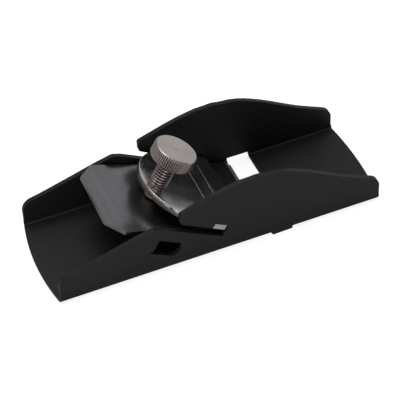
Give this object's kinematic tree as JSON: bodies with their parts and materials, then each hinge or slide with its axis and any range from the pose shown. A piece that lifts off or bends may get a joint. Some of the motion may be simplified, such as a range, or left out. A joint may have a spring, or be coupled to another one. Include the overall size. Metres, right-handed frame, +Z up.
{
  "type": "pocket trimming plane",
  "caption": "Small pressed-steel trimming plane: folded sheet body with humped cheeks, sloped cutter, hooked lever cap and a knurled thumb screw that clamps it.",
  "frame": {"origin": "middle of the length and width, on the flat the plane stands on", "axes": "+X from the heel to the toe, +Y to the left of the planing direction, +Z up out of the sole"},
  "size_m": [0.0888, 0.0296, 0.0274],
  "materials": {
    "black_paint": "semi-matt black paint with a slight grain",
    "ground_steel": "ground across its width",
    "bright_plate": "bright plated",
    "screw_steel": "turned, faintly yellow",
    "nickel_steel": "turned and nickel plated"
  },
  "bodies": {
    "body": {"body": "black_paint"},
    "cutter": {"cutter": "ground_steel"},
    "lever_cap": {"lever_cap": "bright_plate"},
    "screw_point": {"screw_point": "screw_steel"},
    "thumb_screw": {"thumb_screw": "nickel_steel"}
  },
  "joints": [
    {"name": "cutter_slide", "type": "slide", "parent": "body", "child": "cutter", "axis": [-0.9336, 0, 0.3584], "range_m": [-0.0005, 0.004]},
    {"name": "cap_tilt", "type": "hinge", "parent": "body", "child": "lever_cap", "pos_m": [0.00639, 0, 0.00395], "axis": [0, -1, 0], "range_deg": [0, 7.8]},
    {"name": "screw_feed", "type": "slide", "parent": "lever_cap", "child": "screw_point", "axis": [0.5, 0, 0.866], "range_m": [0, 0.00293]},
    {"name": "screw_turn", "type": "hinge", "parent": "screw_point", "child": "thumb_screw", "pos_m": [-0.01228, 0, 0.0126], "axis": [0.5, 0, 0.866], "range_deg": [0, 1320]}
  ],
  "couplings": [
    {"joint": "screw_turn", "follows": "screw_feed", "rad_per_m": 7854},
    {"joint": "cap_tilt", "follows": "screw_feed", "rad_per_m": 46.338}
  ]
}
